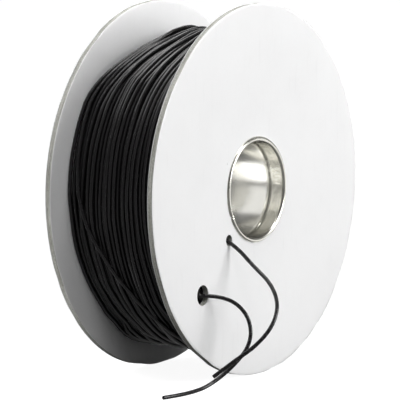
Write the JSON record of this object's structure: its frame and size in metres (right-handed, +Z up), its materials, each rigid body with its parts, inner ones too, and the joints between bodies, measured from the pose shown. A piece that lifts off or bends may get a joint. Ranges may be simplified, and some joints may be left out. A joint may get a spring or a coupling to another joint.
{
  "type": "wire spool",
  "caption": "Board flange spool with a tinplate core, wound with insulated hook-up wire, both wire ends led out through holes in the front flange.",
  "frame": {"origin": "middle of the spindle bore, halfway between the flanges", "axes": "Y is the spool's axis, -Y leaves the front flange, which the wire ends come through; +Z is up, and the spool stands on its rims at z = -0.1 m"},
  "size_m": [0.2, 0.1042, 0.2],
  "materials": {
    "grey_board": "raw grey board, fibrous at the cut edge",
    "white_liner": "matt white liner paper, lightly mottled",
    "wound_board": "spiral-wound brown board",
    "tinplate": "bright tinplate, slightly mottled where it is pressed",
    "wire_insulation": "satin black soft PVC",
    "copper": "bare stranded copper"
  },
  "bodies": {
    "root": {"front_flange_board": "grey_board", "rear_flange_board": "grey_board", "front_flange_outer_paper": "white_liner", "front_flange_inner_paper": "white_liner", "rear_flange_outer_paper": "white_liner", "rear_flange_inner_paper": "white_liner", "core_tube": "tinplate", "front_collar": "tinplate", "rear_collar": "tinplate", "barrel": "wound_board", "wire_winding": "wire_insulation", "inner_tail": "wire_insulation", "outer_tail": "wire_insulation", "inner_tail_conductor": "copper", "outer_tail_conductor": "copper"}
  },
  "joints": []
}
